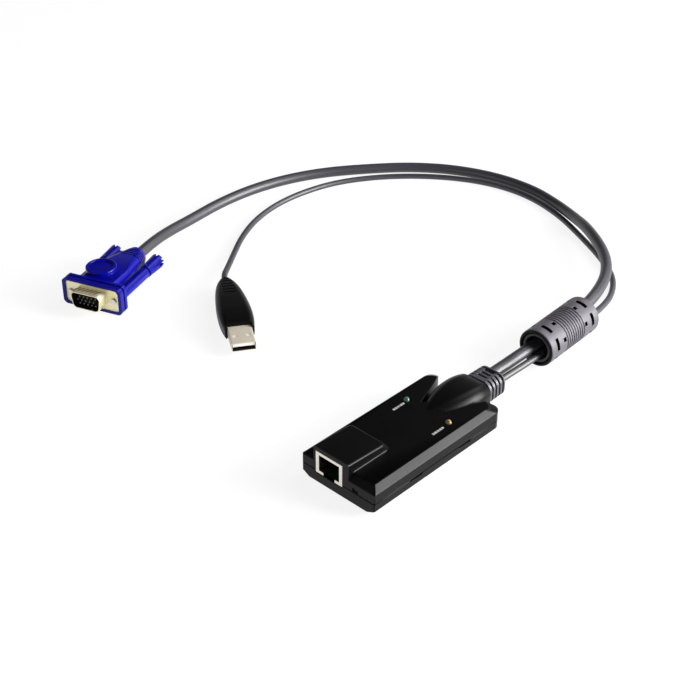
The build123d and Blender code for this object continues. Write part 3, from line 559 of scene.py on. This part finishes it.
def paint_hollow_shade(piece, finish, inside):
    """Painted shade: give a second, dark finish to the faces whose middle lies inside a hollow."""
    piece.data.materials.append(finish)
    for face in piece.data.polygons:
        if inside(face.center, face.normal):
            face.material_index = 1


sleeve_turn = math.radians(2.7)
sleeve_start = Vector((0.0012, 0.0894, 0.0096))
sleeve_axis = Vector((-math.sin(sleeve_turn), math.cos(sleeve_turn), 0))
sleeve_length = 0.0409


def in_sleeve_end(middle, normal):
    """The end faces, the recess and the bore behind each, and the cuts in the collars, which take a
    painted shade.
    """
    away = middle - sleeve_start
    along = away.dot(sleeve_axis)
    out = away - along * sleeve_axis
    facing_in = normal.dot(out) < -0.3 * out.length
    end_face = abs(normal.dot(sleeve_axis)) > 0.6 and not 0.0012 < along < sleeve_length - 0.0012
    cut = out.length < 0.0093 and not 0.0125 < along < sleeve_length - 0.0125
    return end_face or cut or out.length < 0.0084 and facing_in


# Painted shade: the sleeve's end faces, recesses, bores and collar cuts take the near-black finish.
paint_hollow_shade(sleeve, ferrite_black_and_shade, in_sleeve_end)


def joined(name, made, finish, body="dongle"):
    """One object out of several, at the origin, riding on a body."""
    bpy.ops.object.select_all(action="DESELECT")
    for obj in made:
        obj.select_set(True)
    bpy.context.view_layer.objects.active = made[0]
    bpy.ops.object.join()
    whole = bpy.context.object
    bpy.ops.object.transform_apply(location=True, rotation=True, scale=True)
    bpy.ops.object.shade_smooth_by_angle(angle=math.radians(40))
    whole.name = name
    whole.data.materials.append(finish)
    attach(whole, body)


collar_rubber = moulded("collar_rubber", (0.014, 0.013, 0.016), 0.45, shine=0.5)
collars = []
bpy.ops.object.select_all(action="DESELECT")
for along in (0.0013, sleeve_length - 0.0013):
    bpy.ops.mesh.primitive_torus_add(
        location=sleeve_start + along * sleeve_axis,
        rotation=(math.pi / 2, 0, sleeve_turn),
        major_radius=0.0068,
        minor_radius=0.0009,
        major_segments=64,
        minor_segments=12,
    )
    collars.append(bpy.context.object)
joined("ferrite_collars", collars, collar_rubber)
dress("ferrite_core", "ferrite_ring", ferrite_black_and_shade)


# Video plug: a deep blue PVC hood moulded over the plug, a pale gold flange with the
# D-shaped shell drawn out of it, a black insulator and three rows of gold pins.
hood_blue = moulded("blue_pvc", (0.0003, 0.0003, 0.215), 0.30, 0.0008, 0.00003, 0.22)
pale_gold = plated("pale_gold_plate", (0.92, 0.86, 0.58), 0.34, metal_share=0.65)
# The pins are a dull dark grey in place of gold: painted shade inside the shell's mouth.
dim_pins_shade = plated("pins_painted_shade", (0.30, 0.27, 0.24), 0.4)
dress("video_hood", "plug_hood", hood_blue, 0.00025)
flange = dress("video_shell", "plug_flange", pale_gold, 0.0001)
plug_turn = math.radians(20.4)
plug_across = Vector((math.cos(plug_turn), math.sin(plug_turn), 0))
plug_back = Vector((-math.sin(plug_turn), math.cos(plug_turn), 0))
plug_mouth = Vector((-0.2069, 0.0170, 0)) - 0.0447 * plug_back
plug_axis = 7.45


def on_plug(u, v, z):
    """A point in the plug's own frame, in mm: u across, v towards the cable, from the flange."""
    return plug_mouth + (u * plug_across + v * plug_back) / 1000 + Vector((0, 0, z / 1000))


def in_mouth(middle, normal):
    """Inner walls of the D-shaped shell: they look inwards, and get a near-black painted shade."""
    half_width, half_height = 8.9, 4.6
    away = (middle - on_plug(0, 0, plug_axis)) * 1000
    u = away.dot(plug_across)
    v = away.dot(plug_back)
    inwards = normal.dot(plug_across) * u / half_width + normal.z * away.z / half_height
    return abs(u) < 8.7 and abs(away.z) < 4.5 and -6.4 < v < 0.9 and inwards < -0.2


# Painted shade: a near-black finish for the inner walls of the plug shell and of the USB shell.
hollow_shade = moulded("shell_shadow", (0.006, 0.0055, 0.005), 0.5, shine=0.2)
paint_hollow_shade(flange, hollow_shade, in_mouth)
dress("video_insert", "plug_insulator", insulator, 0.00008)
dress("video_pins", "plug_pins", dim_pins_shade)


# Grip dimples of the plug: six slanting bosses pressed out of the wide side of its shell,
# which spring against the socket.
# The bosses are a dark brown gold: painted shade for their slopes, which mirror the dark.
shaded_gold = plated("shaded_gold_plate", (0.20, 0.13, 0.07), 0.4, metal_share=0.3)
bosses = []
bpy.ops.object.select_all(action="DESELECT")
for u in (-6.4, -4.1, -1.8, 0.5, 2.8, 5.1):
    spot = on_plug(u, -3.1, 12.0)
    bpy.ops.mesh.primitive_uv_sphere_add(segments=20, ring_count=10, location=spot)
    boss = bpy.context.object
    boss.scale = (0.0005, 0.0023, 0.0004)
    boss.rotation_euler = (0, 0, plug_turn - math.radians(38))
    bosses.append(boss)
joined("plug_dimples", bosses, shaded_gold)


# Jack screws: steel 4-40 shanks with blue moulded barrels and finned, split knobs. Each
# turns by itself in the hood.
steel = plated("nickel_steel", (0.70, 0.67, 0.62), 0.28)
screw_offset = 12.495
for side in ("left", "right"):
    body = side + "_thumbscrew"
    dress(side + "_screw", side + "_shank", steel, 0.00006, body=body)
    dress(side + "_knob", side + "_grip", hood_blue, 0.0002, body=body)
    turns = []
    u = -screw_offset if side == "left" else screw_offset
    bpy.ops.object.select_all(action="DESELECT")
    for v in (-0.18, -0.82):
        bpy.ops.mesh.primitive_torus_add(
            location=on_plug(u, v, plug_axis),
            rotation=(math.pi / 2, 0, plug_turn),
            major_radius=0.00142,
            minor_radius=0.00014,
            major_segments=28,
            minor_segments=8,
        )
        turns.append(bpy.context.object)
    joined(side + "_thread", turns, steel, body)


# USB plug: a folded, plated shell with two windows, a white tongue with four gold contacts,
# and a black teardrop grip moulded round it.
grip_black = moulded("black_tpe", (0.0024, 0.0024, 0.0026), 0.36, 0.0006, 0.00003, 0.10)
satin = plated("satin_nickel", (0.80, 0.72, 0.60), 0.42, metal_share=0.25)
usb_shell = dress("usb_shell", "usb_sleeve", satin)
usb_centre = sum((Vector(corner) for corner in usb_shell.bound_box), Vector()) / 8


def in_usb_mouth(middle, normal):
    """Inner walls of the shell: they look at its middle line, and get a painted shade."""
    away = middle - usb_centre
    level = abs(normal.z) > 0.9 and abs(away.z) < 0.0021
    return level and normal.z * away.z < 0


# The shell's inner walls take the near-black painted shade.
paint_hollow_shade(usb_shell, hollow_shade, in_usb_mouth)
dress("usb_tongue", "usb_blade", nylon, 0.0001)
dress("usb_contacts", "usb_strips", gold)
dress("usb_grip", "usb_handle", grip_black, 0.00022)
